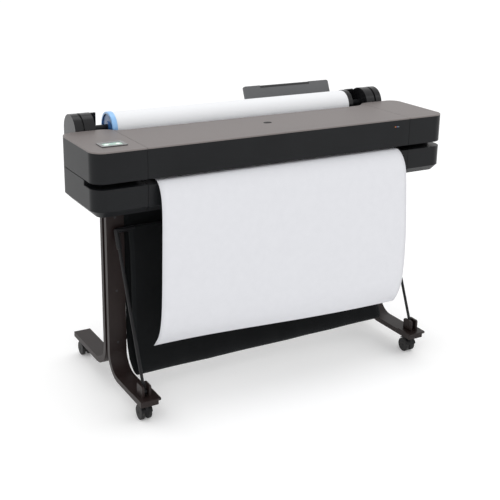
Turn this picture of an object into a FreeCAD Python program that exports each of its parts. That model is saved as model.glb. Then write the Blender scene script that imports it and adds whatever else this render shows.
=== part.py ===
import FreeCAD, Part
import math
import os

# Large format plotter on a wheeled stand, in millimetres. X runs to the right as seen from the
# front, Y to the rear, Z up. The origin is on the floor, at the centre of the footprint.

os.makedirs("parts", exist_ok=True)
V = FreeCAD.Vector

# Driving dimensions: the housing
body_width = 1317.0
body_front = -215.0
end_rear = 76.0
lid_rear = 40.0
body_bottom = 667.0
fold_z = 688.0
lower_top = 756.0
paper_gap = 17.0
deck_top = 870.0
deck_thickness = 4.0
wall = 3.0
bottom_chamfer = 20.0
front_corner_r = 43.0
rear_corner_r = 40.0
step_start = 450.0
step_end = 530.0
left_seam = -487.0
right_seam = 500.0
seam_gap = 1.2
notch_y = -131.0
parting_gap = 1.0
rear_back = 225.0
rear_half = 585.0
edge_bevel = 1.4
shelf_z = 700.0
sheet_steel = 3.0

# The paper and its roll
media_width = 914.0
paper_thickness = 0.8
paper_rise = 5.6
holder_gap = 5.0
roll_drop = 10.0
roll_r = 50.0
core_r = 26.0
stop_overhang = 2.0
stop_thickness = 18.0
spindle_r = 11.0
trough_clearance = 10.0
holder_margin = 5.0
holder_panel_rise = 45.0
web_clearance = 2.0
holder_inner = 500.0
holder_drum_inner = 535.0
holder_outer = 603.0

# The stand
leg_x = 527.0
leg_width = 60.0
bar_thickness = 18.0
leg_y = -15.0
bar_slot = 18.0
foot_bottom = 64.0
front_foot_end = -294.0
rear_foot_end = 302.5
front_bend_r = 65.0
rear_bend_r = 70.0
top_plate = 5.0
brace_z = 178.0
wheel_r = 25.0
wheel_width = 13.0
caster_web = 9.0
caster_trail = 16.0
front_stem_y = -262.0
rear_stem_y = 261.0
axle_r = 4.0
stem_r = 5.0

# The basket
arm_x = 530.0
arm_r = 5.0
arm_foot_y = -258.0
arm_foot_z = 100.0
arm_top_y = -58.0
arm_top_z = 571.0
fabric_half = 492.0
fabric_thickness = 3.0

# The sheet tray
tray_left = 100.0
tray_right = 470.0
tray_hinge_inset = 15.0
tray_hinge_rise = 9.4
tray_length = 113.0
tray_thickness = 8.0
tray_lean = 23.0
extension_width = 212.0
extension_thickness = 2.4

# Heights inside the housing, down from the deck
rail_drop = 38.0
rail_height = 37.0
hinge_drop = 16.0
belt_drop = 25.0
well_drop = 85.0
cartridge_height = 65.0

# The lid hinge
lug_x = 440.0
lug_half = 6.0
hinge_y = 30.0
hinge_pin_r = 4.0
hinge_lug_r = 7.5

# The paper path and its gears
guide_front = -206.0
platen_front = -128.0
platen_rear = -40.0
platen_half = 484.0
feed_y = -22.0
feed_r = 13.5
feed_shaft_r = 6.0
pinch_r = 6.0
pinch_shaft_r = 2.5
tooth_module = 1.5
gear_teeth = 22
pinion_teeth = 12
gear_width = 12.0
pitch_gap = 0.4

# The rail, the carriage and the belt
rail_front = -2.0
rail_rear = 22.0
carriage_x = 575.0
carriage_half = 50.0
cartridge_half = 9.0
pulley_r = 8.0
pulley_y = 1.0
belt_thickness = 1.5
belt_width = 6.0
motor_r = 18.0
motor_length = 40.0

# The screen, the switch and the sockets
screen_left = -607.0
screen_right = -524.0
screen_front = -157.0
screen_rear = -102.0
screen_rise = 2.6
screen_border = 11.0
rocker_x = -498.0
rocker_half = 6.0
rocker_pin_r = 1.5
socket_x = -532.0
inlet_x = -520.0
inlet_z = 750.0
inlet_half = 34.0
inlet_high = 14.0

# The tray hinge and its grip
tray_barrel_r = 6.0
tray_pin_r = 3.0
pocket_left = 170.0
pocket_depth = 92.0
grip_height = 10.0

# Bolts, stems, ears and elbows
bolt_r = 4.0
stem_seat = 12.0
ear_gap = 7.5
ear_width = 8.0
ear_rise = 26.0
arm_pin_r = 4.0
arm_eye_r = 9.0
elbow_reach = 60.0
elbow_r = 8.0

# Clearances
running = 0.05
loose = 0.5
paper_clear = 0.4

# Derived sizes
upper_bottom = lower_top + paper_gap
deck_under = deck_top - deck_thickness
half_width = body_width / 2
foot_top = foot_bottom + bar_thickness
leg_top = body_bottom - top_plate
roll_half = media_width / 2
frame_x = half_width - 26.5
roll_z = deck_top - roll_drop
stop_r = roll_r + stop_overhang
holder_r = roll_r + holder_margin
roll_y = end_rear + holder_r + holder_gap
trough_r = roll_r + trough_clearance
land_z = roll_z - trough_r * math.sin(math.radians(45))
chassis_half = rear_half - 2 * wall
tray_hinge_y = rear_back - tray_hinge_inset
tray_hinge_z = land_z + tray_hinge_rise
paper_z = lower_top + paper_rise
rail_top = deck_top - rail_drop
rail_bottom = rail_top - rail_height
hinge_z = deck_top - hinge_drop
belt_z = deck_top - belt_drop
pulley_x = frame_x - 20.0
gear_x = 4.0 - frame_x
feed_z = paper_z - paper_clear - feed_r
pinch_z = paper_z + paper_thickness + paper_clear + pinch_r
pinion_z = feed_z - tooth_module * (gear_teeth + pinion_teeth) / 2 - pitch_gap
bolt_heights = (brace_z, 360.0, 610.0)
front_bar_y = leg_y - bar_slot / 2 - bar_thickness
rear_bar_y = leg_y + bar_slot / 2 + bar_thickness


def box(x0, x1, y0, y1, z0, z1):
    return Part.makeBox(x1 - x0, y1 - y0, z1 - z0, V(x0, y0, z0))


def rod_x(x0, x1, y, z, r):
    return Part.makeCylinder(r, x1 - x0, V(x0, y, z), V(1, 0, 0))


def rod_y(y0, y1, x, z, r):
    return Part.makeCylinder(r, y1 - y0, V(x, y0, z), V(0, 1, 0))


def rod_z(z0, z1, x, y, r):
    return Part.makeCylinder(r, z1 - z0, V(x, y, z0), V(0, 0, 1))


def tube_x(x0, x1, y, z, outer_r, inner_r):
    return rod_x(x0, x1, y, z, outer_r).cut(rod_x(x0, x1, y, z, inner_r))


def line(a, b):
    return Part.LineSegment(a, b).toShape()


def arc(centre, r, start, end, plane):
    """An arc in the XY or YZ plane, from one angle to another in degrees."""
    points = []
    for angle in (start, (start + end) / 2, end):
        u = r * math.cos(math.radians(angle))
        v = r * math.sin(math.radians(angle))
        if plane == "XY":
            points.append(centre + V(u, v, 0))
        else:
            points.append(centre + V(0, u, v))
    return Part.Arc(*points).toShape()


def prism_x(edges, x0, x1):
    """A closed profile in the YZ plane, pushed along X."""
    face = Part.Face(Part.Wire(edges))
    solid = face.extrude(V(x1 - x0, 0, 0))
    solid.translate(V(x0, 0, 0))
    return solid


def polygon_x(points, x0, x1):
    corners = [V(0, y, z) for y, z in points]
    edges = [line(a, b) for a, b in zip(corners, corners[1:] + corners[:1])]
    return prism_x(edges, x0, x1)


def mirror_x(shape):
    return shape.mirror(V(0, 0, 0), V(1, 0, 0))


def rounded(shape, r, direction):
    """Rounds the edges that run along one direction."""
    picked = []
    for edge in shape.Edges:
        run = edge.Vertexes[-1].Point - edge.Vertexes[0].Point
        if run.Length > 0.01 and abs(run.normalize().dot(direction)) > 0.999:
            picked.append(edge)
    return shape.makeFillet(r, picked)


def join(shapes):
    """One solid from pieces that touch or overlap."""
    return shapes[0].multiFuse(shapes[1:]).removeSplitter()


def save(name, shape):
    shape.exportStep("parts/" + name + ".step")


def save_group(name, shapes):
    """Separate solids that share one node."""
    save(name, Part.makeCompound(shapes))


# The housing

def housing_outline(inset, z):
    """Plan of the housing, drawn inwards by an inset: rounded ends and a stepped rear edge."""
    half = half_width - inset
    front = body_front + inset
    rise = end_rear - lid_rear
    run = step_end - step_start
    step_r = (run * run + rise * rise) / (4 * rise)
    turn = math.degrees(math.asin(run / 2 / step_r))
    inner_r = step_r + inset
    outer_r = step_r - inset
    front_r = front_corner_r - inset
    rear_r = rear_corner_r - inset
    side = half_width - front_corner_r
    side_rear = half_width - rear_corner_r
    edges = []
    for sign in (1, -1):
        inner = V(sign * step_start, lid_rear + step_r, z)
        outer = V(sign * step_end, end_rear - step_r, z)
        rear = V(sign * side_rear, end_rear - rear_corner_r, z)
        fore = V(sign * side, body_front + front_corner_r, z)
        across = 0 if sign > 0 else 180
        edges.append(arc(inner, inner_r, -90, -90 + sign * turn, "XY"))
        edges.append(arc(outer, outer_r, 90 + sign * turn, 90, "XY"))
        edges.append(line(outer + V(0, outer_r, 0), rear + V(0, rear_r, 0)))
        edges.append(arc(rear, rear_r, 90, across, "XY"))
        edges.append(line(V(sign * half, rear.y, z), V(sign * half, fore.y, z)))
        edges.append(arc(fore, front_r, sign * across, -90, "XY"))
    edges.append(line(V(-side, front, z), V(side, front, z)))
    edges.append(line(V(-step_start, lid_rear - inset, z), V(step_start, lid_rear - inset, z)))
    return Part.Wire(Part.sortEdges(edges)[0])


def housing_prism(inset, z0, z1):
    return Part.Face(housing_outline(inset, z0)).extrude(V(0, 0, z1 - z0))


def housing_taper(inset, z0, z1):
    """The sloping underside, drawn in at the bottom."""
    low = housing_outline(inset + bottom_chamfer, z0)
    high = housing_outline(inset, z1)
    return Part.makeLoft([low, high], True, True)


def softened_prism(z0, z1, at_top):
    """A housing prism whose edge is bevelled all round, at its top or its bottom."""
    wide = z1 - edge_bevel if at_top else z0 + edge_bevel
    narrow = z1 if at_top else z0
    bevel = Part.makeLoft([housing_outline(0, wide), housing_outline(edge_bevel, narrow)],
                          True, True)
    body = housing_prism(0, z0, wide) if at_top else housing_prism(0, wide, z1)
    return body.fuse(bevel)


def span(x0, x1, y0=-400.0, y1=400.0):
    return box(x0, x1, y0, y1, 0.0, 2 * deck_top)


def end_span(side):
    """The room that one end of the housing takes up, outside its seam."""
    if side == "left":
        return span(-half_width, left_seam - seam_gap / 2)
    return span(right_seam + seam_gap / 2, half_width)


def centre_span():
    return span(left_seam + seam_gap / 2, right_seam - seam_gap / 2)


def lower_cover(side):
    """Hollow end cover under the paper gap, with a shelf and a step up behind the gap."""
    rear_top = upper_bottom - parting_gap
    low = softened_prism(fold_z, lower_top, True)
    high = housing_prism(0, fold_z, rear_top).cut(
        box(-half_width, half_width, body_front, notch_y, fold_z, rear_top))
    outer = housing_taper(0, body_bottom, fold_z).multiFuse([low, high])
    inner = housing_taper(wall, body_bottom, fold_z).fuse(housing_prism(wall, fold_z, rear_top))
    shell = outer.cut(inner)
    plan = housing_prism(wall / 2, lower_top - wall, rear_top)
    front_room = box(-half_width, half_width, body_front, notch_y, lower_top - wall, lower_top)
    shelf = plan.common(front_room)
    step_box = box(-half_width, half_width, notch_y - wall, notch_y, lower_top - wall, rear_top)
    step = plan.common(step_box)
    chassis_room = box(-chassis_half - loose, chassis_half + loose,
                       lid_rear - sheet_steel - loose, end_rear, body_bottom, shelf_z + loose)
    return join([shell, shelf, step]).common(end_span(side)).cut(chassis_room)


def upper_cover(side):
    """Hollow end cover over the paper gap, with a floor along its front."""
    shell = softened_prism(upper_bottom, deck_under, False).cut(
        housing_prism(wall, upper_bottom, deck_under))
    room = box(-half_width, half_width, body_front, notch_y, upper_bottom, upper_bottom + wall)
    floor = housing_prism(wall / 2, upper_bottom, upper_bottom + wall).common(room)
    return join([shell, floor]).common(end_span(side))


def deck_panel(side):
    return softened_prism(deck_under, deck_top, True).common(end_span(side))


def lid_top_panel():
    """The brown lid, with two hinge lugs under its rear edge."""
    panel = softened_prism(deck_under, deck_top, True).common(centre_span())
    lugs = []
    for x in (-lug_x, lug_x):
        lug = rod_x(x - lug_half, x + lug_half, hinge_y, hinge_z, hinge_lug_r)
        neck = box(x - lug_half, x + lug_half, hinge_y - hinge_lug_r, hinge_y + hinge_lug_r,
                   hinge_z, deck_under)
        bore = rod_x(x - lug_half, x + lug_half, hinge_y, hinge_z, hinge_pin_r + running)
        lugs.append(lug.fuse(neck).cut(bore))
    return join([panel] + lugs)


def lid_front_panel():
    """The black face of the lid, with a short flange along its top."""
    face = softened_prism(upper_bottom, deck_under, False).common(centre_span())
    face = face.cut(housing_prism(wall, upper_bottom, deck_under - wall))
    return face.common(box(-half_width, half_width, body_front, body_front + 24.0,
                           upper_bottom, deck_under))


def lid_hinge_brackets():
    """A pair of posts on the rail that hold the lid's hinge pins."""
    brackets = []
    post_half = 5.0
    gap = 1.0
    for x in (-lug_x, lug_x):
        side = -1 if x < 0 else 1
        post_x = x + side * (lug_half + gap + post_half)
        post = box(post_x - post_half, post_x + post_half, rail_rear, hinge_y + hinge_lug_r,
                   rail_bottom, hinge_z + hinge_pin_r + 2.0)
        pin = rod_x(x - lug_half, x + lug_half + 2 * gap + 2 * post_half, hinge_y, hinge_z,
                    hinge_pin_r)
        if side < 0:
            pin = rod_x(x - lug_half - 2 * gap - 2 * post_half, x + lug_half, hinge_y, hinge_z,
                        hinge_pin_r)
        brackets.append(post.fuse(pin).removeSplitter())
    return brackets


def lower_front_cover():
    """The long panel under the paper gap, with its fold and a thin lip."""
    outer = housing_taper(0, body_bottom, fold_z).fuse(softened_prism(fold_z, lower_top, True))
    inner = housing_taper(wall, body_bottom, fold_z).fuse(
        housing_prism(wall, fold_z, lower_top - wall))
    room = box(-half_width, half_width, body_front, body_front + 38.0, body_bottom, lower_top)
    lip_room = box(-half_width, half_width, guide_front, body_front + 60.0,
                   lower_top - wall, lower_top)
    return outer.cut(inner).common(room).cut(lip_room).common(centre_span())


def rear_profile(inset):
    """Section of the rear housing: a trough for the roll, a land and a flat back."""
    r = trough_r + inset
    top = land_z - inset
    front = roll_y - trough_r * math.cos(math.radians(45)) + inset
    start = V(0, front, roll_z - math.sqrt(r ** 2 - (roll_y - front) ** 2))
    end = V(0, roll_y + math.sqrt(r ** 2 - (roll_z - top) ** 2), top)
    points = [end, V(0, rear_back - inset, top), V(0, rear_back - inset, shelf_z + inset),
              V(0, front, shelf_z + inset), start]
    edges = [line(a, b) for a, b in zip(points, points[1:])]
    from_angle = 180 + math.degrees(math.atan2(roll_z - start.z, roll_y - front))
    to_angle = 360 - math.degrees(math.atan2(roll_z - top, end.y - roll_y))
    edges.append(arc(V(0, roll_y, roll_z), r, from_angle, to_angle, "YZ"))
    return edges


def rear_cover():
    """Hollow rear housing under the roll, with a row of vents in its back."""
    outer = prism_x(rear_profile(0), -rear_half, rear_half)
    inner = prism_x(rear_profile(wall), -rear_half + wall, rear_half - wall)
    shell = outer.cut(inner)
    vents = []
    vent_width = 6.0
    for i in range(12):
        x = 330.0 + i * 2 * vent_width
        vents.append(box(x, x + vent_width, rear_back - 2 * wall, rear_back + wall, 730.0, 770.0))
    window = box(inlet_x - inlet_half, inlet_x + inlet_half, rear_back - 2 * wall,
                 rear_back + wall, inlet_z - inlet_high, inlet_z + inlet_high)
    return shell.cut(Part.makeCompound(vents + [window]))


def base_chassis():
    """Folded steel tray that carries everything: a floor, a riser and a rear shelf."""
    floor = housing_prism(bottom_chamfer + wall + loose, body_bottom, body_bottom + sheet_steel)
    reach = frame_x + sheet_steel
    floor = floor.common(span(-reach, reach, body_front, lid_rear))
    half = chassis_half
    riser = box(-half, half, lid_rear - sheet_steel, lid_rear, body_bottom, shelf_z)
    shelf = box(-half, half, lid_rear - sheet_steel, rear_back - 2 * wall,
                shelf_z - sheet_steel, shelf_z)
    return join([floor, riser, shelf])


# Inside the housing


def side_frames():
    """A steel plate inside each end, bored for the feed roller's shaft."""
    plates = []
    for sign in (-1, 1):
        x0 = min(sign * frame_x, sign * (frame_x + sheet_steel))
        x1 = x0 + sheet_steel
        plate = box(x0, x1, notch_y, lid_rear - sheet_steel - loose,
                    body_bottom + sheet_steel, deck_under - 4.0)
        bore = rod_x(x0, x1, feed_y, feed_z, feed_shaft_r + running)
        bore_pinch = rod_x(x0, x1, feed_y, pinch_z, pinch_shaft_r + running)
        plates.append(plate.cut(bore).cut(bore_pinch))
    return plates


def platen():
    """Flat bed under the print zone, ribbed along the paper's path."""
    bed = box(-platen_half, platen_half, platen_front, platen_rear, 742.0, paper_z - 2.0)
    ribs = []
    rib_pitch = 44.0
    count = int(platen_half / rib_pitch)
    for i in range(-count, count + 1):
        x = i * rib_pitch
        ribs.append(box(x - 2.0, x + 2.0, platen_front, platen_rear, paper_z - 2.0,
                        paper_z - paper_clear))
    return join([bed] + ribs)


def output_guide():
    """Thin black guide from the platen out to the lip of the lower cover."""
    points = [(platen_front - loose, paper_z - 1.5), (guide_front, lower_top),
              (guide_front, lower_top - wall), (platen_front - loose, paper_z - 1.5 - wall)]
    return polygon_x(points, -platen_half, platen_half)


def feed_roller():
    """Rubber feed roller on a steel shaft that runs through both side frames."""
    shaft = rod_x(-frame_x - 6.0, frame_x + 6.0, feed_y, feed_z, feed_shaft_r)
    roller = rod_x(-platen_half, platen_half, feed_y, feed_z, feed_r)
    return shaft.fuse(roller).removeSplitter()


def gear(teeth, y, z, bore_r, turned):
    """Spur gear across X. Its teeth are narrower than the gaps, so a pair turns freely."""
    pitch_r = tooth_module * teeth / 2
    root_r = pitch_r - 1.25 * tooth_module
    tip_r = pitch_r + 0.8 * tooth_module
    step = 2 * math.pi / teeth
    points = []
    for i in range(teeth):
        middle = i * step + turned
        for r, share in ((root_r, -0.24), (tip_r, -0.09), (tip_r, 0.09), (root_r, 0.24)):
            angle = middle + share * step
            points.append((y + r * math.cos(angle), z + r * math.sin(angle)))
    blank = polygon_x(points, gear_x, gear_x + gear_width)
    return blank.cut(rod_x(gear_x, gear_x + gear_width, y, z, bore_r))


def pinch_rollers():
    """Small rollers on one shaft that press the paper down."""
    parts = [rod_x(-frame_x - 6.0, frame_x + 6.0, feed_y, pinch_z, pinch_shaft_r)]
    pitch = 110.0
    for i in range(-4, 5):
        parts.append(rod_x(i * pitch - 15.0, i * pitch + 15.0, feed_y, pinch_z, pinch_r))
    return join(parts)


def carriage_rail():
    """Steel channel between the side frames."""
    outer = box(-frame_x, frame_x, rail_front, rail_rear, rail_bottom, rail_top)
    inner = box(-frame_x, frame_x, rail_front + sheet_steel, rail_rear,
                rail_bottom + sheet_steel, rail_top - sheet_steel)
    return outer.cut(inner)


def carriage():
    """Print carriage with four wells, and a shoe that reaches back to the rail."""
    x0 = carriage_x - carriage_half
    x1 = carriage_x + carriage_half
    front = platen_front
    rear = platen_rear + 4.0
    top = rail_top + 6.0
    well_floor = deck_top - well_drop
    body = box(x0, x1, front, rear, paper_z + 6.0, top)
    body = rounded(body, 5.0, V(0, 0, 1))
    well_pitch = (2 * carriage_half - 8.0) / 4
    for i in range(4):
        x = x0 + 4.0 + well_pitch * (i + 0.5)
        body = body.cut(box(x - cartridge_half - loose, x + cartridge_half + loose, front + 8.0,
                            rear - 8.0, well_floor, top))
    shoe = box(x0 + 15.0, x1 - 15.0, rear - 1.0, rail_front - 1.0,
               rail_bottom + sheet_steel, rail_top - 2.0)
    return join([body, shoe])


def ink_cartridges():
    x0 = carriage_x - carriage_half
    well_pitch = (2 * carriage_half - 8.0) / 4
    cartridges = []
    for i in range(4):
        x = x0 + 4.0 + well_pitch * (i + 0.5)
        block = box(x - cartridge_half, x + cartridge_half, platen_front + 8.0 + loose,
                    platen_rear - 4.0 - loose, deck_top - well_drop,
                    deck_top - well_drop + cartridge_height)
        cartridges.append(rounded(block, 2.5, V(0, 0, 1)))
    return cartridges


def cutter():
    """Rotary cutter housing on the carriage's left side, with its round blade."""
    x1 = carriage_x - carriage_half
    housing = box(x1 - 14.0, x1, platen_front + 6.0, platen_front + 40.0, 775.0, 815.0)
    blade = rod_x(x1 - 10.0, x1 - 9.0, platen_front + 22.0, 777.0, 8.0)
    return join([rounded(housing, 3.0, V(0, 0, 1)), blade])


def drive_belt():
    """Closed belt over the two pulleys."""
    y0 = pulley_y + 1.0
    y1 = y0 + belt_width
    inner_r = pulley_r + 0.4
    outer_r = inner_r + belt_thickness
    sides = []
    for r in (outer_r, inner_r):
        ends = rod_y(y0, y1, -pulley_x, belt_z, r).fuse(rod_y(y0, y1, pulley_x, belt_z, r))
        sides.append(ends.fuse(box(-pulley_x, pulley_x, y0, y1, belt_z - r, belt_z + r)))
    return sides[0].cut(sides[1]).removeSplitter()


def pulley(x):
    hub = rod_y(pulley_y + 1.0, pulley_y + 1.0 + belt_width, x, belt_z, pulley_r)
    shaft = rod_y(pulley_y, rail_rear, x, belt_z, 2.5)
    return join([hub, shaft])


def drive_motors():
    """The carriage motor behind the right pulley and the feed motor beside the pinion."""
    start = rail_rear + loose
    carriage_motor = rod_y(start, start + motor_length, pulley_x, belt_z, motor_r)
    idler_post = box(-pulley_x - 8.0, -pulley_x + 8.0, start, start + 8.0, rail_bottom,
                     belt_z + pulley_r)
    feed_start = gear_x + gear_width + 4.0
    feed_motor = rod_x(feed_start, feed_start + motor_length, feed_y, pinion_z, motor_r)
    return [carriage_motor, idler_post, feed_motor]


def feed_pinion():
    """Pinion on the feed motor's shaft, meshing under the gear."""
    phase = math.pi / 2 + math.pi / pinion_teeth
    teeth = gear(pinion_teeth, feed_y, pinion_z, 2.0, phase)
    shaft = rod_x(gear_x, gear_x + gear_width + 3.5, feed_y, pinion_z, 2.0)
    return join([teeth, shaft])


def service_station():
    """Parking block for the carriage, with a row of cap wells."""
    x0 = carriage_x - carriage_half + 4.0
    x1 = carriage_x + carriage_half - 4.0
    block = box(x0, x1, platen_front, platen_rear, 690.0, paper_z)
    for i in range(4):
        x = x0 + (x1 - x0) * (i + 0.5) / 4
        block = block.cut(box(x - 8.0, x + 8.0, platen_front + 20.0, platen_rear - 20.0,
                              paper_z - 10.0, paper_z))
    return block


def main_board():
    """Circuit board on the rear shelf, with its chips and rear sockets."""
    board = box(-440.0, -200.0, 110.0, 215.0, shelf_z + wall + 8.0, shelf_z + wall + 9.6)
    top = shelf_z + wall + 9.6
    parts = [board]
    for x in (-420.0, -380.0, -340.0):
        parts.append(box(x, x + 22.0, 195.0, 217.0, top, top + 14.0))
    for x, size in ((-400.0, 34.0), (-320.0, 26.0), (-260.0, 20.0)):
        parts.append(box(x, x + size, 130.0, 130.0 + size, top, top + 3.0))
    for x in (-435.0, -209.0):
        for y in (112.0, 207.0):
            parts.append(box(x, x + 4.0, y, y + 4.0, shelf_z + wall, top))
    return join(parts)


def power_supply():
    case = box(180.0, 320.0, 110.0, 205.0, shelf_z + wall, 770.0)
    slots = []
    for i in range(10):
        x = 195.0 + i * 12.0
        slots.append(box(x, x + 5.0, 130.0, 185.0, 766.0, 770.0))
    return case.cut(Part.makeCompound(slots))


# The controls and the power inlet


def screen_bezel():
    """Dark frame on the left deck panel, recessed for the glass."""
    frame = box(screen_left, screen_right, screen_front, screen_rear, deck_top,
                deck_top + screen_rise)
    frame = rounded(frame, 3.0, V(0, 0, 1))
    return frame.cut(box(screen_left + screen_border, screen_right - screen_border,
                         screen_front + screen_border, screen_rear - screen_border,
                         deck_top + 1.2, deck_top + screen_rise))


def screen_glass():
    return box(screen_left + screen_border, screen_right - screen_border,
               screen_front + screen_border, screen_rear - screen_border,
               deck_top + 1.2, deck_top + screen_rise - 0.4)


def power_inlet():
    """Inlet block set in the back, with a socket recess and a window for the rocker."""
    block = box(inlet_x - inlet_half, inlet_x + inlet_half, rear_back - 26.0, rear_back + 1.0,
                inlet_z - inlet_high, inlet_z + inlet_high)
    recess = box(socket_x - 14.0, socket_x + 14.0, rear_back - 18.0, rear_back + 1.0,
                 inlet_z - 10.0, inlet_z + 10.0)
    blades = []
    for offset in (-7.0, 0.0, 7.0):
        blades.append(box(socket_x + offset - 1.0, socket_x + offset + 1.0, rear_back - 18.0,
                          rear_back - 6.0, inlet_z - 2.5, inlet_z + 2.5))
    window = box(rocker_x - rocker_half - loose, rocker_x + rocker_half + loose,
                 rear_back - 18.0, rear_back + 1.0, inlet_z - 11.0, inlet_z + 11.0)
    pin = rod_x(rocker_x - rocker_half - loose, rocker_x + rocker_half + loose,
                rear_back - 6.0, inlet_z, rocker_pin_r)
    return join([block.cut(recess).cut(window), pin] + blades)


def power_switch():
    """Rocker with a shallow V face, turning on the inlet block's pin."""
    face = rear_back + 1.5
    points = [(face - 12.0, inlet_z - 4.0), (face, inlet_z - 9.0), (face - 1.2, inlet_z),
              (face, inlet_z + 9.0), (face - 12.0, inlet_z + 4.0)]
    rocker = polygon_x(points, rocker_x - rocker_half, rocker_x + rocker_half)
    bore = rod_x(rocker_x - rocker_half, rocker_x + rocker_half, rear_back - 6.0, inlet_z,
                 rocker_pin_r + running)
    return rocker.cut(bore)


# The roll, its spindle and holders

def roll_holder(sign):
    """Rounded housing over one end of the spindle, with a groove and a rear wall."""
    top = land_z
    drum = rod_x(holder_drum_inner, holder_outer, roll_y, roll_z, holder_r)
    foot = box(holder_drum_inner, holder_outer, roll_y - holder_r, roll_y + holder_r, top, roll_z)
    hood = drum.common(span(holder_drum_inner, holder_outer)).fuse(foot)
    hood = hood.cut(box(holder_drum_inner, holder_outer, 0.0, rear_back, shelf_z, top))
    ring = tube_x(571.0, 578.0, roll_y, roll_z, holder_r + 2.0, holder_r - 5.0)
    hood = hood.cut(ring.common(box(571.0, 578.0, 0.0, rear_back, roll_z - 20.0, roll_z + 2 * holder_r)))
    bore = rod_x(holder_drum_inner, holder_outer - 10.0, roll_y, roll_z, spindle_r + running)
    panel = box(holder_inner, holder_drum_inner, roll_y + 36.0, roll_y + 44.0, top,
                roll_z + holder_panel_rise)
    shape = join([hood.cut(bore), panel])
    return shape if sign > 0 else mirror_x(shape)


def spindle():
    reach = holder_outer - 12.0
    return rod_x(-reach, reach, roll_y, roll_z, spindle_r)


def roll_stop(sign):
    """Flanged hub on the spindle that centres and clamps one end of the roll."""
    start = roll_half + loose
    flange = rod_x(start, start + stop_thickness, roll_y, roll_z, stop_r)
    rim = flange.Edges
    flange = flange.makeFillet(2.0, [e for e in rim if abs(e.Length - 2 * math.pi * stop_r) < 1])
    dish = tube_x(start + stop_thickness - 4.0, start + stop_thickness, roll_y, roll_z,
                  stop_r - 8.0, spindle_r + 9.0)
    hub = rod_x(start - 28.0, start, roll_y, roll_z, core_r)
    bore = rod_x(start - 28.0, start + stop_thickness, roll_y, roll_z, spindle_r)
    shape = join([flange.cut(dish), hub]).cut(bore)
    return shape if sign > 0 else mirror_x(shape)


def paper_roll():
    return tube_x(-roll_half, roll_half, roll_y, roll_z, roll_r, core_r)


def ribbon(points, start, end, thickness, x0, x1):
    """A sheet of even thickness that follows a smooth curve through (y, z) points."""
    curve = Part.BSplineCurve()
    curve.interpolate(Points=[V(0, y, z) for y, z in points], InitialTangent=V(0, *start),
                      FinalTangent=V(0, *end))
    steps = 6 * len(points)
    offset = []
    for i in range(steps + 1):
        at = curve.FirstParameter + (curve.LastParameter - curve.FirstParameter) * i / steps
        along = curve.tangent(at)[0]
        offset.append(curve.value(at) + V(0, along.z, -along.y) * thickness)
    other = Part.BSplineCurve()
    other.interpolate(Points=offset, InitialTangent=V(0, *start), FinalTangent=V(0, *end))
    edges = [curve.toShape(), line(curve.EndPoint, other.EndPoint), other.toShape(),
             line(other.StartPoint, curve.StartPoint)]
    return prism_x(edges, x0, x1)


def print_sheet():
    """The printed length: down from the roll, through the rollers and out over the lip."""
    flat_rear = feed_y + 12.0
    flat_front = platen_front - 2.0
    low = paper_z
    near = roll_y - roll_r - web_clearance
    rear = [(near, roll_z - 18.0), (near - 5.0, roll_z - 38.0), (near - 24.0, low + 27.4),
            (25.0, low + 4.9), (flat_rear, low)]
    feed = ribbon(rear, (-0.1, -1.0), (-1.0, 0.0), -paper_thickness, -roll_half, roll_half)
    flat = box(-roll_half, roll_half, flat_front, flat_rear, low, low + paper_thickness)
    front = [(flat_front, low), (-165.0, 764.0), (-195.0, 766.0), (-219.0, 759.5),
             (-240.0, 735.0), (-252.0, 697.0), (-260.0, 610.0), (-262.0, 480.0),
             (-258.0, 360.0), (-247.0, 285.0), (-230.0, 232.0), (-214.0, 204.0)]
    hang = ribbon(front, (-1.0, 0.0), (0.5, -0.86), -paper_thickness, -roll_half, roll_half)
    return join([feed, flat, hang])


# The sheet tray

def leaned(shape):
    shape.rotate(V(0, tray_hinge_y, tray_hinge_z), V(1, 0, 0), -tray_lean)
    return shape


def sheet_tray():
    """Grey support that leans back behind the roll, with a pocket for its extension."""
    y0 = tray_hinge_y - tray_thickness / 2
    y1 = tray_hinge_y + tray_thickness / 2
    top = tray_hinge_z + tray_length
    plate = box(tray_left, tray_right, y0, y1, tray_hinge_z, top)
    plate = rounded(plate, 8.0, V(0, 1, 0))
    barrel = rod_x(tray_left, tray_right, tray_hinge_y, tray_hinge_z, tray_barrel_r)
    half = extension_thickness / 2 + loose
    pocket = box(pocket_left, pocket_left + extension_width + 2 * loose, tray_hinge_y - half,
                 tray_hinge_y + half, top - pocket_depth, top)
    grip = box(pocket_left, pocket_left + extension_width + 2 * loose, y0, tray_hinge_y,
               top - grip_height, top)
    bore = rod_x(tray_left, tray_right, tray_hinge_y, tray_hinge_z, tray_pin_r + running)
    return leaned(join([plate, barrel]).cut(pocket).cut(grip).cut(bore))


def tray_extension():
    """Thin slider in the tray's pocket, with a turned finger lip at its top."""
    top = tray_hinge_z + tray_length - 3.0
    x0 = pocket_left + loose
    x1 = x0 + extension_width
    half = extension_thickness / 2
    plate = box(x0, x1, tray_hinge_y - half, tray_hinge_y + half, top - pocket_depth + 6.0, top)
    lip = box(x0, x1, tray_hinge_y - tray_thickness / 2 + 0.8, tray_hinge_y,
              top + 3.0 - grip_height + loose, top)
    return leaned(join([plate, lip]))


def tray_brackets():
    """Two ears on the rear housing with the pins that the tray tilts on."""
    ears = []
    for x, sign in ((tray_left, -1), (tray_right, 1)):
        x0 = min(x + sign * 1.0, x + sign * 9.0)
        ear = box(x0, x0 + 8.0, tray_hinge_y - 9.0, tray_hinge_y + 9.0, land_z,
                  tray_hinge_z + 8.0)
        pin = rod_x(min(x - sign * 14.0, x + sign * 9.0), max(x - sign * 14.0, x + sign * 9.0),
                    tray_hinge_y, tray_hinge_z, tray_pin_r)
        ears.append(join([ear, pin]))
    return ears


# The stand

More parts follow.
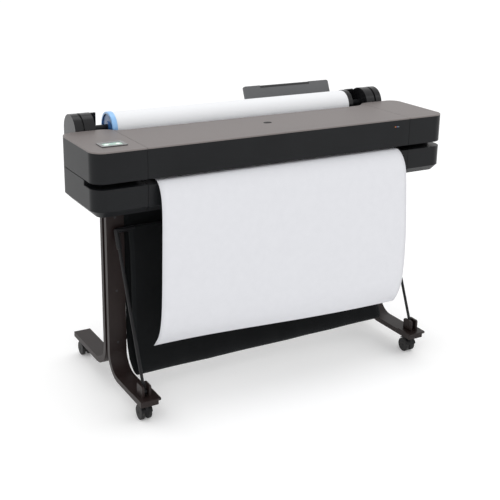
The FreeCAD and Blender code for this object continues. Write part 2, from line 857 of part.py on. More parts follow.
def leg_bar(face_y, sign, foot_end, bend_r):
    """Flat bar that comes down as a column and bends out into a foot."""
    outer_r = bend_r + bar_thickness
    near = face_y
    far = face_y - sign * bar_thickness
    centre = V(0, near + sign * bend_r, foot_top + bend_r)
    inside = (180, 270) if sign > 0 else (0, -90)
    edges = [line(V(0, near, leg_top), V(0, near, centre.z)),
             arc(centre, bend_r, inside[0], inside[1], "YZ"),
             line(V(0, centre.y, foot_top), V(0, foot_end, foot_top)),
             line(V(0, foot_end, foot_top), V(0, foot_end, foot_bottom)),
             line(V(0, foot_end, foot_bottom), V(0, centre.y, foot_bottom)),
             arc(centre, outer_r, inside[1], inside[0], "YZ"),
             line(V(0, far, centre.z), V(0, far, leg_top)),
             line(V(0, far, leg_top), V(0, near, leg_top))]
    return prism_x(edges, leg_x - leg_width / 2, leg_x + leg_width / 2)


def leg(sign):
    """Two bent bars with a slot between them, and the plate that carries the housing."""
    bores = []
    for z in bolt_heights:
        bores.append(rod_y(front_bar_y, rear_bar_y, leg_x, z, bolt_r + running))
    sockets = Part.makeCompound(bores)
    stems = Part.makeCompound([rod_z(foot_bottom, foot_bottom + stem_seat, leg_x, y,
                                     stem_r + running) for y in (front_stem_y, rear_stem_y)])
    front = leg_bar(front_bar_y, -1, front_foot_end, front_bend_r).cut(sockets).cut(stems)
    rear = leg_bar(rear_bar_y, 1, rear_foot_end, rear_bend_r).cut(sockets).cut(stems)
    plate = box(leg_x - leg_width / 2 - 18.0, leg_x + leg_width / 2 + 18.0, front_bar_y - 24.0,
                rear_bar_y + 24.0, leg_top, body_bottom)
    solids = [front, rear, rounded(plate, 8.0, V(0, 0, 1))]
    return solids if sign > 0 else [mirror_x(s) for s in solids]


def cross_brace():
    """Black tube between the legs, bored for the bolts that hold it in both slots."""
    r = bar_slot / 2 - 0.2
    reach = leg_x + leg_width / 2 - 10.0
    tube = rod_x(-reach, reach, leg_y, brace_z, r)
    for x in (-leg_x, leg_x):
        tube = tube.cut(rod_y(leg_y - 2 * r, leg_y + 2 * r, x, brace_z, bolt_r + running))
    return tube


def leg_bolts():
    bolts = []
    head = 4.0
    for x in (-leg_x, leg_x):
        for z in bolt_heights:
            shank = rod_y(front_bar_y, rear_bar_y, x, z, bolt_r)
            nut = rod_y(rear_bar_y, rear_bar_y + head, x, z, 2 * bolt_r)
            bolts.append(join([shank, nut]))
    return bolts


def foot_brackets():
    """Base plate on each front foot with two ears and the pin for the basket's arm."""
    brackets = []
    for sign in (-1, 1):
        x = sign * arm_x
        left = sign * leg_x - leg_width / 2 - 3.0
        right = sign * leg_x + leg_width / 2 + 6.0
        base = box(left, right, -rear_foot_end, arm_foot_y + 30.0, foot_top, foot_top + 6.0)
        base = rounded(base, 4.0, V(0, 0, 1))
        parts = [base]
        for side in (-1, 1):
            x0 = min(x + side * ear_gap, x + side * (ear_gap + ear_width))
            ear = box(x0, x0 + ear_width, arm_foot_y - 20.0, arm_foot_y + 22.0, foot_top,
                      arm_foot_z + ear_rise)
            parts.append(rounded(ear, 6.0, V(1, 0, 0)))
        parts.append(rod_x(x - ear_gap - ear_width, x + ear_gap + ear_width, arm_foot_y,
                           arm_foot_z, arm_pin_r))
        brackets.append(join(parts))
    return brackets


def caster_fork(x, y):
    """Swivel fork of a twin-wheel caster: a stem, a hood and the axle."""
    axle_y = y + caster_trail
    clear = 1.0
    span_half = caster_web / 2 + clear + wheel_width
    stem = rod_z(foot_bottom - 6.0, foot_bottom + stem_seat - 1.0, x, y, stem_r)
    plate = rod_z(foot_bottom - 7.0, foot_bottom - 1.0, x, y, 18.0)
    web = box(x - caster_web / 2, x + caster_web / 2, y - 10.0, axle_y + 8.0, wheel_r - 8.0,
              foot_bottom - 2.0)
    hood = tube_x(x - span_half, x + span_half, axle_y, wheel_r, wheel_r + 5.0, wheel_r + 2.0)
    hood = hood.common(box(x - span_half, x + span_half, y - 40.0, axle_y + 14.0, wheel_r + 8.0,
                           foot_bottom))
    axle = rod_x(x - span_half + 1.0, x + span_half - 1.0, axle_y, wheel_r, axle_r)
    return join([stem, plate, web, hood, axle])


def caster_wheels(x, y):
    """Pair of soft-tread wheels that turn together on the fork's axle."""
    axle_y = y + caster_trail
    wheels = []
    for side in (-1, 1):
        inner = x + side * (caster_web / 2 + 1.0)
        outer = inner + side * wheel_width
        x0 = min(inner, outer)
        wheel = rod_x(x0, x0 + wheel_width, axle_y, wheel_r, wheel_r)
        rims = [e for e in wheel.Edges if abs(e.Length - 2 * math.pi * wheel_r) < 0.5]
        wheel = wheel.makeFillet(2.5, rims)
        wheels.append(wheel.cut(rod_x(x0, x0 + wheel_width, axle_y, wheel_r, axle_r + running)))
    return wheels


# The basket

def basket_frame():
    """Two arms with eyes at their feet, and the rod across their tops."""
    foot = V(arm_x, arm_foot_y, arm_foot_z)
    top = V(arm_x, arm_top_y, arm_top_z)
    rise = top - foot
    arms = []
    for x in (-arm_x, arm_x):
        arm = Part.makeCylinder(arm_r, rise.Length - 8.0, V(x, foot.y, foot.z), rise)
        eye = rod_x(x - arm_r - 1.0, x + arm_r + 1.0, foot.y, foot.z, arm_eye_r)
        bore = rod_x(x - arm_r - 1.0, x + arm_r + 1.0, foot.y, foot.z, arm_pin_r + running)
        arms.append(arm.fuse(eye).removeSplitter().cut(bore))
    across = rod_x(-arm_x + elbow_reach / 2, arm_x - elbow_reach / 2, arm_top_y, arm_top_z, arm_r)
    return arms + [across]


def basket_elbows():
    """Corner sleeves that join each arm to the cross rod."""
    foot = V(0, arm_foot_y, arm_foot_z)
    rise = V(0, arm_top_y, arm_top_z) - foot
    down = rise * -1
    elbows = []
    for sign in (-1, 1):
        corner = V(sign * arm_x, arm_top_y, arm_top_z)
        leg_part = Part.makeCylinder(elbow_r, elbow_reach, corner, down)
        leg_part = leg_part.cut(Part.makeCylinder(arm_r, elbow_reach + 5.0,
                                                  corner + down.normalize() * 8.0, down))
        side = V(-sign, 0, 0)
        arm_part = Part.makeCylinder(elbow_r, elbow_reach, corner, side)
        arm_part = arm_part.cut(Part.makeCylinder(arm_r, elbow_reach, corner +
                                                  side * (elbow_reach / 2), side))
        ball = Part.makeSphere(elbow_r, corner)
        bore = Part.makeCylinder(arm_r, elbow_reach, corner + down * 8.0, down)
        across = Part.makeCylinder(arm_r, elbow_reach, corner + side * (elbow_reach / 2), side)
        elbows.append(join([leg_part, arm_part, ball]).cut(bore).cut(across))
    return elbows


def basket_sleeve():
    """The hem of the basket's cloth, a tunnel around the cross rod."""
    reach = arm_x - elbow_reach - 1.0
    return tube_x(-reach, reach, arm_top_y, arm_top_z, arm_r + 3.0, arm_r)


def basket_fabric():
    """Black cloth: a front panel under the hem, a pouch, and a rear panel up to the housing."""
    back = leg_y - bar_slot / 2 - fabric_thickness - 1.0
    start = (arm_top_y - 17.0, arm_top_z - 14.0)
    points = [start, (-78.0, 480.0), (-80.0, 360.0), (-84.0, 230.0), (-100.0, 160.0),
              (-124.0, 112.0), (-116.0, 84.0), (-84.0, 84.0), (-52.0, 112.0),
              (back - 3.0, brace_z), (back, 300.0), (back, 480.0), (back, leg_top - loose)]
    return ribbon(points, (0.0, -1.0), (0.0, 1.0), fabric_thickness, -fabric_half, fabric_half)


save("lower_front_cover", lower_front_cover())
save("lower_left_cover", lower_cover("left"))
save("lower_right_cover", lower_cover("right"))
save("upper_left_cover", upper_cover("left"))
save("upper_right_cover", upper_cover("right"))
save("left_deck_panel", deck_panel("left"))
save("right_deck_panel", deck_panel("right"))
save("lid_top_panel", lid_top_panel())
save("lid_front_panel", lid_front_panel())
save_group("lid_hinge_brackets", lid_hinge_brackets())
save("rear_cover", rear_cover())
save("base_chassis", base_chassis())
save_group("side_frames", side_frames())
save("platen", platen())
save("output_guide", output_guide())
save("feed_roller", feed_roller())
save("feed_gear", gear(gear_teeth, feed_y, feed_z, feed_shaft_r, math.pi / 2))
save("feed_pinion", feed_pinion())
save("pinch_rollers", pinch_rollers())
save("carriage_rail", carriage_rail())
save("carriage", carriage())
save_group("ink_cartridges", ink_cartridges())
save("cutter", cutter())
save("drive_belt", drive_belt())
save("drive_pulley", pulley(pulley_x))
save("idler_pulley", pulley(-pulley_x))
save_group("drive_motors", drive_motors())
save("service_station", service_station())
save("main_board", main_board())
save("power_supply", power_supply())
save("screen_bezel", screen_bezel())
save("screen_glass", screen_glass())
save("power_inlet", power_inlet())
save("power_switch", power_switch())
save("left_roll_holder", roll_holder(-1))
save("right_roll_holder", roll_holder(1))
save("spindle", spindle())
save("blue_stop", roll_stop(-1))
save("black_stop", roll_stop(1))
save("paper_roll", paper_roll())
save("print_sheet", print_sheet())
save("sheet_tray", sheet_tray())
save("tray_extension", tray_extension())
save_group("tray_brackets", tray_brackets())
save_group("left_leg", leg(-1))
save_group("right_leg", leg(1))
save("cross_brace", cross_brace())
save_group("leg_bolts", leg_bolts())
save_group("foot_brackets", foot_brackets())
for end, x in (("left", -leg_x), ("right", leg_x)):
    for place, y in (("front", front_stem_y), ("rear", rear_stem_y)):
        save("caster_fork_" + place + "_" + end, caster_fork(x, y))
        save_group("caster_wheels_" + place + "_" + end, caster_wheels(x, y))
save_group("basket_frame", basket_frame() + basket_elbows())
save("basket_sleeve", basket_sleeve())
save("basket_fabric", basket_fabric())
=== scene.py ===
import math

import bmesh
import bpy
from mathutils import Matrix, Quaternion, Vector, noise


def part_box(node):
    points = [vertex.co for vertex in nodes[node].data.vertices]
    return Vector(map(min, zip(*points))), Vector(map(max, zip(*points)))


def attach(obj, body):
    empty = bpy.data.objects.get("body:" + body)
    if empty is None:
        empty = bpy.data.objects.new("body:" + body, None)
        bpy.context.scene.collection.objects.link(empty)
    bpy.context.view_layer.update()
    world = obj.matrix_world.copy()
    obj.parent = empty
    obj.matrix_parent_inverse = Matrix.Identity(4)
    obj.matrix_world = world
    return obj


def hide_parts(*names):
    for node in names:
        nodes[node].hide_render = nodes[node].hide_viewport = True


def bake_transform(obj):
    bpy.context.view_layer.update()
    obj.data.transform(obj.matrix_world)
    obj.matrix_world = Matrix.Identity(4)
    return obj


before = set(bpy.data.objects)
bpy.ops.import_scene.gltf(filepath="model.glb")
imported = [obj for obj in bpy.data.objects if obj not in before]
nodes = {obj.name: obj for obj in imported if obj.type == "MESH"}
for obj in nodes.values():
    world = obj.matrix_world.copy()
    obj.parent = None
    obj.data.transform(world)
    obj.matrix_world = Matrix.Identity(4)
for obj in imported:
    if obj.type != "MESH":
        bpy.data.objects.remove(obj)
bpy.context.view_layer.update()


# The housing's black covers. Injection-moulded ABS with a fine spark texture, so it is satin,
# cloudy where the mould was polished unevenly, with faint scuffs.
class Value:
    """A shader socket that takes plain arithmetic."""

    def __init__(self, finish, socket):
        self.finish = finish
        self.socket = socket

    def math(self, operation, first, second=None):
        inputs = {0: first} if second is None else {0: first, 1: second}
        return self.finish.node("ShaderNodeMath", {"operation": operation}, inputs)

    def __add__(self, other):
        return self.math("ADD", self, other)

    def __sub__(self, other):
        return self.math("SUBTRACT", self, other)

    def __mul__(self, other):
        return self.math("MULTIPLY", self, other)

    def __gt__(self, other):
        return self.math("GREATER_THAN", self, other)

    def __lt__(self, other):
        return self.math("LESS_THAN", self, other)

    def __pow__(self, other):
        return self.math("POWER", self, other)

    def __abs__(self):
        return self.math("ABSOLUTE", self)

    def sine(self):
        return self.math("SINE", self)

    def clamped(self):
        return self.finish.node("ShaderNodeClamp", {}, {0: self})


class Finish:
    """One material on a Principled shader, with its numbers set on the shader's own sockets."""

    def __init__(self, name, **numbers):
        self.material = bpy.data.materials.new(name)
        self.material.use_nodes = True
        self.tree = self.material.node_tree
        self.shader = self.tree.nodes["Principled BSDF"]
        for socket, number in numbers.items():
            self.shader.inputs[socket.replace("_", " ")].default_value = number

    def node(self, kind, settings, inputs, output=0):
        """A node: its settings first, then the value or link of each socket."""
        made = self.tree.nodes.new(kind)
        for name, setting in settings.items():
            if name == "stops":
                for i, (place, colour) in enumerate(setting):
                    stops = made.color_ramp.elements
                    stop = stops[i] if i < len(stops) else stops.new(place)
                    stop.position = place
                    stop.color = (*colour, 1)
            else:
                setattr(made, name, setting)
        for key, value in inputs.items():
            if isinstance(value, Value):
                self.tree.links.new(value.socket, made.inputs[key])
            else:
                made.inputs[key].default_value = value
        return Value(self, made.outputs[output])

    def place(self, scale=(1, 1, 1), centre=(0, 0, 0)):
        """The object's own coordinates in metres, moved and scaled."""
        where = self.node("ShaderNodeTexCoord", {}, {}, "Object")
        return self.node("ShaderNodeMapping", {}, {"Vector": where, "Location": centre,
                                                   "Scale": scale})

    def axes(self, where):
        parts = self.node("ShaderNodeSeparateXYZ", {}, {0: where})
        return [Value(self, parts.socket.node.outputs[i]) for i in range(3)]

    def cloud(self, where, scale, detail=2.0):
        return self.node("ShaderNodeTexNoise", {}, {"Vector": where, "Scale": scale,
                                                    "Detail": detail})

    def ramp(self, factor, *stops):
        return self.node("ShaderNodeValToRGB", {"stops": stops}, {"Fac": factor})

    def mix(self, factor, first, second):
        return self.node("ShaderNodeMix", {"data_type": "RGBA"}, {0: factor, 6: first, 7: second},
                         2)

    def bump(self, height, strength, distance):
        return self.node("ShaderNodeBump", {}, {"Height": height, "Strength": strength,
                                                "Distance": distance})

    def feed(self, **links):
        for socket, value in links.items():
            self.tree.links.new(value.socket, self.shader.inputs[socket.replace("_", " ")])
        return self


def rgba(r, g, b):
    return (r, g, b, 1.0)


def moulded(name, colour, worn, rough, grain=900.0, depth=0.00004, **numbers):
    """Textured moulded plastic: a fine grain, broad cloudiness and faint scuffs."""
    finish = Finish(name, **numbers)
    where = finish.place()
    fine = finish.cloud(where, grain, 3.0)
    broad = finish.cloud(where, 6.0, 4.0)
    scuff = finish.cloud(finish.place(scale=(40, 260, 160)), 1.0, 5.0)
    scuffed = ((scuff - 0.62) * 7).clamped() * 0.25
    blotch = (broad * 0.6 + fine * 0.4 + scuffed - 0.2).clamped()
    finish.feed(Base_Color=finish.ramp(blotch, (0.15, colour), (0.75, worn)),
                Roughness=(broad * 0.10 + fine * 0.06 + scuffed * 0.3 + (rough - 0.08)),
                Normal=finish.bump(fine, 0.35, depth))
    return finish.material


def to_object(name, mesh, material=None, smooth=True):
    for face in mesh.faces:
        face.smooth = smooth
    data = bpy.data.meshes.new(name)
    mesh.to_mesh(data)
    mesh.free()
    piece = bpy.data.objects.new(name, data)
    bpy.context.collection.objects.link(piece)
    if material:
        data.materials.append(material)
    return piece


def dress(material, *names):
    """Gives CAD nodes their finish."""
    for name in names:
        mesh = nodes[name].data
        mesh.materials.clear()
        mesh.materials.append(material)


cover_black = moulded("cover_black", (0.0065, 0.007, 0.008), (0.0125, 0.0135, 0.015), 0.36,
                      Specular_IOR_Level=0.16)
dress(cover_black, "lower_front_cover", "lower_left_cover", "lower_right_cover",
      "upper_left_cover", "upper_right_cover", "lid_front_panel", "rear_cover")


# The deck: two end panels and the lid's top. Moulded in a warm taupe with a fine metallic
# fleck, and matt.
deck = Finish("deck_taupe", Metallic=0.25, Specular_IOR_Level=0.4)
where = deck.place()
fleck = deck.cloud(where, 1500.0, 2.0)
drift = deck.cloud(where, 3.0, 3.0)
deck_tone = (drift * 0.5 + fleck * 0.5).clamped()
deck.feed(Base_Color=deck.ramp(deck_tone, (0.25, (0.150, 0.130, 0.125)), (0.7, (0.198, 0.176, 0.171))),
          Roughness=drift * 0.12 + fleck * 0.1 + 0.36,
          Normal=deck.bump(fleck, 0.25, 0.00003))
dress(deck.material, "left_deck_panel", "right_deck_panel", "lid_top_panel")


# The marks on the lid: a plain dark oval with no lettering, a thin gloss disc stuck on the top,
# and four small dots in the ink colours, printed on the front.
lid_low, lid_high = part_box("lid_top_panel")
badge_x, badge_y = 0.015, -0.066
badge_r = 0.0150
badge_flat = 0.72
badge_height = 0.0006
badge_taper = 0.0004
oval = bmesh.new()
bmesh.ops.create_cone(oval, cap_ends=True, segments=64, radius1=badge_r,
                      radius2=badge_r - badge_taper, depth=badge_height)
for vert in oval.verts:
    vert.co = Vector((vert.co.x + badge_x, vert.co.y * badge_flat + badge_y,
                      vert.co.z + lid_high.z + badge_height / 2))
badge_gloss = moulded("badge_gloss", (0.010, 0.009, 0.009), (0.018, 0.016, 0.016), 0.5,
                       Specular_IOR_Level=0.1)
badge = to_object("lid_badge", oval, badge_gloss, smooth=False)
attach(badge, "lid")
front_low, front_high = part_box("lid_front_panel")
dot_r = 0.0016
dot_height = 0.0004
dot_pitch = 0.0048
first_dot_x = 0.452
dot_drop = 0.022
for i, (name, ink) in enumerate((("black", (0.30, 0.31, 0.33)), ("cyan", (0.02, 0.30, 0.55)),
                                 ("magenta", (0.45, 0.04, 0.16)), ("yellow", (0.85, 0.33, 0.03)))):
    dot = bmesh.new()
    bmesh.ops.create_cone(dot, cap_ends=True, segments=20, radius1=dot_r, radius2=dot_r,
                          depth=dot_height)
    for vert in dot.verts:
        vert.co = Vector((first_dot_x - i * dot_pitch + vert.co.x,
                          front_low.y - dot_height / 2 + vert.co.z,
                          front_high.z - dot_drop + vert.co.y))
    bmesh.ops.recalc_face_normals(dot, faces=dot.faces)
    dot_ink = moulded("dot_" + name, tuple(c * 0.8 for c in ink), ink, 0.4)
    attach(to_object("lid_dot_" + name, dot, dot_ink, smooth=False), "lid")


# The touch screen: a gloss black frame let into the left deck panel, with a lit glass panel.
# Its picture is a plain home page: a pale card, a status bar and three round tiles.
frame_gloss = moulded("screen_frame", (0.008, 0.008, 0.009), (0.014, 0.014, 0.016), 0.2,
                      Coat_Weight=0.4, Coat_Roughness=0.1)
dress(frame_gloss, "screen_bezel")
screen_low, screen_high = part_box("screen_glass")
screen_mid = (screen_low + screen_high) / 2
screen = Finish("screen_glass", Roughness=0.12, Coat_Weight=0.5, Coat_Roughness=0.05,
                Emission_Strength=0.12)
x, y, z = screen.axes(screen.place(centre=-screen_mid))
glow = screen.cloud(screen.place(), 45.0, 1.0)
page = screen.ramp(glow, (0.3, (0.10, 0.24, 0.17)), (0.7, (0.34, 0.55, 0.44)))
status_bar_edge = 0.0105
picture = screen.mix(y > status_bar_edge, page, rgba(0.04, 0.10, 0.09))
tile_r = 0.0065
tile_drop = 0.002
for tile_x, tint in ((-0.018, (0.85, 0.92, 0.90)), (0.0, (0.10, 0.30, 0.26)),
                     (0.018, (0.92, 0.95, 0.93))):
    apart = (x - tile_x) * (x - tile_x) + (y + tile_drop) * (y + tile_drop)
    picture = screen.mix(apart < tile_r ** 2, picture, rgba(*tint))
screen.feed(Base_Color=picture, Emission_Color=picture)
dress(screen.material, "screen_glass")


# The inside of the machine: black and grey moulded parts, zinc-plated sheet with its rolling
# marks, ground shafts, acetal gears and the green board.
inner_black = moulded("inner_black", (0.008, 0.008, 0.009), (0.018, 0.018, 0.02), 0.5)
inner_grey = moulded("inner_grey", (0.10, 0.105, 0.11), (0.15, 0.155, 0.16), 0.45)
gear_white = moulded("gear_acetal", (0.60, 0.59, 0.55), (0.72, 0.71, 0.67), 0.35)
board_green = moulded("board_green", (0.010, 0.09, 0.035), (0.02, 0.16, 0.07), 0.35, grain=300.0)
roller_rubber = moulded("roller_rubber", (0.014, 0.014, 0.014), (0.03, 0.03, 0.03), 0.7)


def brushed(name, colour, streaks, rough):
    """Metal with fine marks along one direction."""
    finish = Finish(name, Metallic=1.0)
    lines = finish.cloud(finish.place(scale=streaks), 1.0, 4.0)
    patch = finish.cloud(finish.place(), 9.0, 3.0)
    dark = tuple(c * 0.8 for c in colour)
    finish.feed(Base_Color=finish.ramp(lines * 0.5 + patch * 0.5, (0.3, dark), (0.7, colour)),
                Roughness=lines * 0.15 + patch * 0.12 + (rough - 0.13),
                Normal=finish.bump(lines, 0.2, 0.00003))
    return finish.material


plated = brushed("plated_sheet", (0.50, 0.51, 0.52), (8, 900, 900), 0.38)
shaft_steel = brushed("ground_steel", (0.58, 0.58, 0.60), (900, 60, 60), 0.28)
dress(plated, "lid_hinge_brackets", "base_chassis", "side_frames", "carriage_rail", "power_supply")
dress(inner_black, "platen", "output_guide", "carriage", "power_inlet", "power_switch")
dress(inner_grey, "ink_cartridges", "cutter", "pinch_rollers", "service_station")
dress(gear_white, "feed_gear", "feed_pinion", "drive_pulley", "idler_pulley")
dress(board_green, "main_board")
dress(roller_rubber, "feed_roller", "drive_belt")
dress(shaft_steel, "drive_motors")


# The spindle and its two holders. The holders are gloss black mouldings over each end of a
# black painted tube; the roll sits between a blue stop and a black one.
holder_gloss = moulded("holder_gloss", (0.006, 0.006, 0.007), (0.011, 0.011, 0.012), 0.20,
                       Specular_IOR_Level=0.25, Coat_Weight=0.1, Coat_Roughness=0.1)
spindle_low, spindle_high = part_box("spindle")
roll_y = (spindle_low.y + spindle_high.y) / 2
roll_z = (spindle_low.z + spindle_high.z) / 2
blue_gloss = Finish("stop_blue", Coat_Weight=0.3, Coat_Roughness=0.1)
x, y, z = blue_gloss.axes(blue_gloss.place(centre=(0, -roll_y, -roll_z)))
rim_start = 0.0455
rim = (y * y + z * z) ** 0.5 > rim_start
grain = blue_gloss.cloud(blue_gloss.place(), 700.0, 3.0)
dark_face = blue_gloss.ramp(grain, (0.2, (0.03, 0.12, 0.33)), (0.8, (0.05, 0.16, 0.40)))
light_rim = blue_gloss.ramp(grain, (0.2, (0.24, 0.50, 0.85)), (0.8, (0.32, 0.56, 0.90)))
blue_gloss.feed(Base_Color=blue_gloss.mix(rim, dark_face, light_rim),
                Roughness=grain * 0.1 + 0.24,
                Normal=blue_gloss.bump(grain, 0.2, 0.00003))
rod_paint = moulded("rod_paint", (0.008, 0.008, 0.009), (0.016, 0.016, 0.018), 0.3, grain=500.0,
                    depth=0.00006, Specular_IOR_Level=0.2)
dress(holder_gloss, "left_roll_holder", "right_roll_holder", "black_stop")
dress(blue_gloss.material, "blue_stop")
dress(rod_paint, "spindle")


# The roll: uncoated white paper wound on a card core. Its ends show the edges of the wraps,
# and the outside is smooth with a very faint tooth.
roll_paper = Finish("roll_paper", Specular_IOR_Level=0.3)
x, y, z = roll_paper.axes(roll_paper.place(centre=(0, -roll_y, -roll_z)))
from_axis = (y * y + z * z) ** 0.5
wraps = (from_axis * 9000.0).sine() * 0.5 + 0.5
tooth = roll_paper.cloud(roll_paper.place(), 700.0, 3.0)
outer_wrap = 0.0494
face = from_axis < outer_wrap
shade = (wraps * face * 0.35 + tooth * 0.2).clamped()
roll_paper.feed(Base_Color=roll_paper.ramp(shade, (0.0, (0.84, 0.85, 0.87)), (0.6, (0.64, 0.64, 0.65))),
                Roughness=tooth * 0.1 + 0.6,
                Normal=roll_paper.bump(tooth, 0.12, 0.00004))
dress(roll_paper.material, "paper_roll")


# The print: matt paper that leaves the slot, turns over the lip and hangs. It was wound on the
# roll, so its lower end still curls back, more at the left edge than at the right.
paper_low, paper_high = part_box("print_sheet")
web = [(0.084, 0.842), (0.079, 0.822), (0.060, 0.789), (0.025, 0.7667), (-0.010, 0.7621),
       (-0.060, 0.7620), (-0.130, 0.7622), (-0.165, 0.7644), (-0.195, 0.7655)]
hang_left = web + [(-0.2185, 0.7595), (-0.236, 0.735), (-0.246, 0.698), (-0.2485, 0.636),
                   (-0.2455, 0.521), (-0.241, 0.400), (-0.233, 0.318), (-0.214, 0.256), (-0.174, 0.2045)]
hang_right = web + [(-0.2245, 0.7590), (-0.250, 0.733), (-0.2655, 0.690), (-0.276, 0.600),
                    (-0.286, 0.480), (-0.287, 0.375), (-0.280, 0.292), (-0.262, 0.240), (-0.243, 0.208)]


def smooth_line(points, share):
    """A point on the curve through the given (y, z) points, by Catmull and Rom's rule."""
    at = share * (len(points) - 1)
    i = min(int(at), len(points) - 2)
    t = at - i
    p = [Vector(points[min(max(i + k, 0), len(points) - 1)]) for k in (-1, 0, 1, 2)]
    return 0.5 * (2 * p[1] + (p[2] - p[0]) * t + (2 * p[0] - 5 * p[1] + 4 * p[2] - p[3]) * t ** 2
                  + (3 * p[1] - p[0] - 3 * p[2] + p[3]) * t ** 3)


def laid_grid(name, across, along, shape):
    """A grid whose two shares, across and along from 0 to 1, are laid out by a function."""
    mesh = bmesh.new()
    bmesh.ops.create_grid(mesh, x_segments=across, y_segments=along, size=0.5)
    uv = mesh.loops.layers.uv.new("cloth")
    for face in mesh.faces:
        for loop in face.loops:
            loop[uv].uv = (loop.vert.co.x + 0.5, loop.vert.co.y + 0.5)
    for vert in mesh.verts:
        vert.co = shape(vert.co.x + 0.5, vert.co.y + 0.5)
    bmesh.ops.recalc_face_normals(mesh, faces=mesh.faces)
    return to_object(name, mesh)


def print_shape(across, along):
    side = across * across * (3 - 2 * across)
    at = smooth_line(hang_left, along).lerp(smooth_line(hang_right, along), side)
    loose_part = max(0.0, along - 0.55) / 0.45
    ripple = math.sin(across * 7.0 + 0.6) * 0.0022 * loose_part
    x = paper_low.x + 0.0002 + across * (paper_high.x - paper_low.x - 0.0004)
    return Vector((x, at.x + ripple, at.y))


printed = laid_grid("hanging_print", 48, 150, print_shape)
paper = Finish("print_paper", Specular_IOR_Level=0.3)
tooth = paper.cloud(paper.place(), 600.0, 3.0)
formation = paper.cloud(paper.place(), 40.0, 3.0)
paper.feed(Base_Color=paper.ramp(formation * 0.6 + tooth * 0.4, (0.2, (0.655, 0.660, 0.690)),
                                 (0.8, (0.695, 0.700, 0.730))),
           Roughness=tooth * 0.12 + formation * 0.08 + 0.5,
           Normal=paper.bump(tooth, 0.12, 0.00004))
printed.data.materials.append(paper.material)
thick = printed.modifiers.new("thickness", "SOLIDIFY")
thick.thickness = 0.0004
thick.offset = 0
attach(printed, "root")
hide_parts("print_sheet")


# The sheet tray behind the roll: grey moulded plate with a thin slider in its pocket.
tray_grey = moulded("tray_grey", (0.085, 0.088, 0.092), (0.125, 0.128, 0.132), 0.42)
dress(tray_grey, "sheet_tray", "tray_brackets")
dress(inner_black, "tray_extension")


# The stand: bent steel bars with a very dark brown powder coat, whose orange peel shows in the
# light, and a black tube between them held by black bolts.
stand_coat = Finish("stand_coat", Specular_IOR_Level=0.22)
peel = stand_coat.cloud(stand_coat.place(), 420.0, 2.0)
shift = stand_coat.cloud(stand_coat.place(), 7.0, 4.0)
stand_coat.feed(Base_Color=stand_coat.ramp(peel * 0.4 + shift * 0.6, (0.25, (0.0125, 0.0075, 0.0070)),
                                           (0.75, (0.022, 0.0145, 0.0135))),
                Roughness=shift * 0.14 + peel * 0.08 + 0.32,
                Normal=stand_coat.bump(peel, 0.3, 0.00012))
dress(stand_coat.material, "left_leg", "right_leg", "foot_brackets")
dress(rod_paint, "cross_brace", "basket_frame")
dress(brushed("bolt_black", (0.06, 0.06, 0.062), (300, 300, 300), 0.4), "leg_bolts")


# The casters: nylon hoods, and wheels whose treads have picked up patches of dust.
hood_nylon = moulded("caster_nylon", (0.006, 0.006, 0.007), (0.013, 0.013, 0.014), 0.42,
                     Specular_IOR_Level=0.2)
tread = Finish("caster_tread", Specular_IOR_Level=0.2)
x, y, z = tread.axes(tread.place())
dust = (tread.cloud(tread.place(), 120.0, 5.0) - 0.45) * 3
tread.feed(Base_Color=tread.ramp(dust.clamped(), (0.0, (0.014, 0.014, 0.015)),
                                 (1.0, (0.05, 0.047, 0.043))),
           Roughness=dust.clamped() * 0.25 + 0.5,
           Normal=tread.bump(tread.cloud(tread.place(), 800.0, 2.0), 0.3, 0.00005))
for place in ("front_left", "front_right", "rear_left", "rear_right"):
    dress(hood_nylon, "caster_fork_" + place)
    dress(tread.material, "caster_wheels_" + place)


# The basket's cloth: black woven polyester in two panels, sewn and stitched along their sides.
# The front one hangs from the rod and turns under in a shallow pouch. The rear one goes from
# there up to the housing.
sleeve_low, sleeve_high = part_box("basket_sleeve")
rod_y = (sleeve_low.y + sleeve_high.y) / 2
rod_z = (sleeve_low.z + sleeve_high.z) / 2
cloth_low, cloth_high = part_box("basket_fabric")
cloth_profile = [(rod_y - 0.0075, rod_z - 0.002), (rod_y - 0.012, rod_z - 0.03), (-0.0755, 0.480),
                 (-0.0795, 0.360), (-0.085, 0.230), (-0.101, 0.160), (-0.1245, 0.112),
                 (-0.1165, 0.0845), (-0.084, 0.0845), (-0.053, 0.112)]
rear_profile = [(-0.053, 0.112), (-0.031, 0.178), (-0.028, 0.300), (-0.028, 0.480),
                (-0.028, cloth_high.z)]


def cloth_shape(across, along):
    at = smooth_line(cloth_profile, along)
    x = cloth_low.x + across * (cloth_high.x - cloth_low.x)
    free = math.sin(math.pi * min(1.0, along)) ** 0.7
    fold = noise.noise(Vector((across * 9.0, along * 2.0, 3.0))) * 0.006
    drag = noise.noise(Vector((across * 26.0, along * 5.0, 8.0))) * 0.0018
    sag = math.sin(math.pi * across) * 0.004
    return Vector((x, at.x - (fold + drag + sag) * free, at.y + drag * 0.5 * free))


def rear_cloth_shape(across, along):
    at = smooth_line(rear_profile, along)
    x = cloth_low.x + across * (cloth_high.x - cloth_low.x)
    free = math.sin(math.pi * along) ** 0.7
    fold = noise.noise(Vector((across * 8.0, along * 2.0, 21.0))) * 0.003
    drag = noise.noise(Vector((across * 24.0, along * 5.0, 34.0))) * 0.001
    return Vector((x, at.x - (fold + drag + 0.002) * free, at.y))


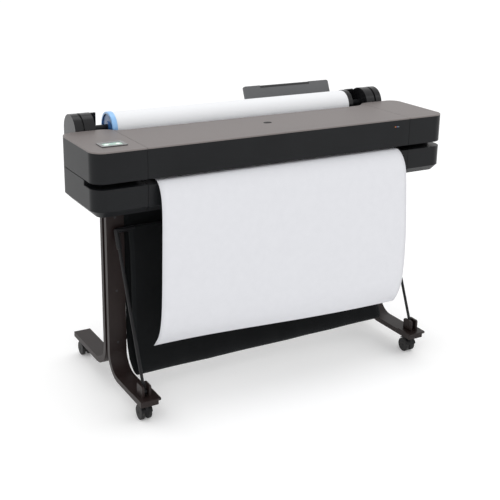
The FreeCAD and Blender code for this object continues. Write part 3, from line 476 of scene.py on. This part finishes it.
cloth = laid_grid("basket_cloth", 130, 110, cloth_shape)
weave = Finish("basket_weave", Specular_IOR_Level=0.1, Sheen_Weight=0.05, Sheen_Roughness=0.5)
uv = weave.node("ShaderNodeUVMap", {"uv_map": "cloth"}, {})
u, v, w = weave.axes(uv)
threads = 700.0
warp = (u * threads * math.pi).sine()
weft = (v * threads * 0.7 * math.pi).sine()
crossing = abs(warp) * abs(weft)
worn = weave.cloud(weave.place(), 14.0, 4.0)
# A band along each side edge is painted a shade lighter: a painted highlight where the hem turns towards
# the light. The stitching beside it is real thread.
hem_painted_highlight = abs(u - 0.5) > 0.484
stitch = (abs(abs(u - 0.5) - 0.4855) < 0.0006) * ((v * 560.0).sine() > 0.1)
thread_tone = (crossing * 0.45 + worn * 0.35 + hem_painted_highlight * 0.25 + stitch * 0.35).clamped()
weave.feed(Base_Color=weave.ramp(thread_tone, (0.2, (0.0035, 0.004, 0.0045)),
                                 (0.9, (0.013, 0.0145, 0.0155))),
           Roughness=worn * 0.15 + 0.72,
           Normal=weave.bump(crossing, 0.5, 0.0004))
rear_cloth = laid_grid("rear_cloth", 130, 90, rear_cloth_shape)
for panel in (cloth, rear_cloth):
    panel.data.materials.append(weave.material)
    thick = panel.modifiers.new("thickness", "SOLIDIFY")
    thick.thickness = 0.0009
    thick.offset = 0
    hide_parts("basket_fabric")
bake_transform(cloth)
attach(rear_cloth, "root")
dress(weave.material, "basket_sleeve")


# The floor, the light and the camera: a plain pale studio.
floor_mesh = bmesh.new()
bmesh.ops.create_grid(floor_mesh, x_segments=1, y_segments=1, size=14.0)
floor = to_object("studio_floor", floor_mesh)
floor_finish = Finish("studio_white", Base_Color=rgba(0.96, 0.96, 0.96), Roughness=0.85,
                      Specular_IOR_Level=0.1, Emission_Color=rgba(1, 1, 1), Emission_Strength=0.12)
floor.data.materials.append(floor_finish.material)
bpy.context.scene.view_settings.view_transform = "Standard"
world = bpy.data.worlds.new("studio")
bpy.context.scene.world = world
world.use_nodes = True
world.node_tree.nodes["Background"].inputs["Color"].default_value = rgba(1, 1, 1)
world.node_tree.nodes["Background"].inputs["Strength"].default_value = 1.0


def softbox(name, place, aim, size, power):
    light = bpy.data.lights.new(name, "AREA")
    light.shape = "RECTANGLE"
    light.size, light.size_y = size
    light.energy = power
    lamp = bpy.data.objects.new(name, light)
    lamp.location = place
    lamp.rotation_euler = (Vector(aim) - Vector(place)).to_track_quat("-Z", "Y").to_euler()
    bpy.context.collection.objects.link(lamp)


softbox("key", (-2.2, -2.6, 2.9), (0, 0, 0.6), (1.6, 1.6), 10)
softbox("side", (3.0, -1.5, 2.0), (0, 0, 0.6), (1.2, 2.0), 8)
softbox("top", (0.0, 0.6, 3.2), (0, 0, 0.8), (2.6, 1.2), 9)

camera_data = bpy.data.cameras.new("camera")
camera_data.sensor_width = 36.0
camera_data.lens = 68.97
camera_data.shift_y = -0.1
camera = bpy.data.objects.new("camera", camera_data)
camera.location = (-1.608, -2.748, 1.552)
heading, dip, roll = (math.radians(angle) for angle in (30.195, 16.916, 1.007))
camera.rotation_euler = (math.pi / 2 - dip, 0, -heading)
camera.rotation_mode = "QUATERNION"
turn = camera.rotation_euler.to_quaternion()
tilt = Vector((0, 0, 1))
camera.rotation_quaternion = turn @ Quaternion(tilt, roll)
bpy.context.collection.objects.link(camera)
bpy.context.scene.camera = camera
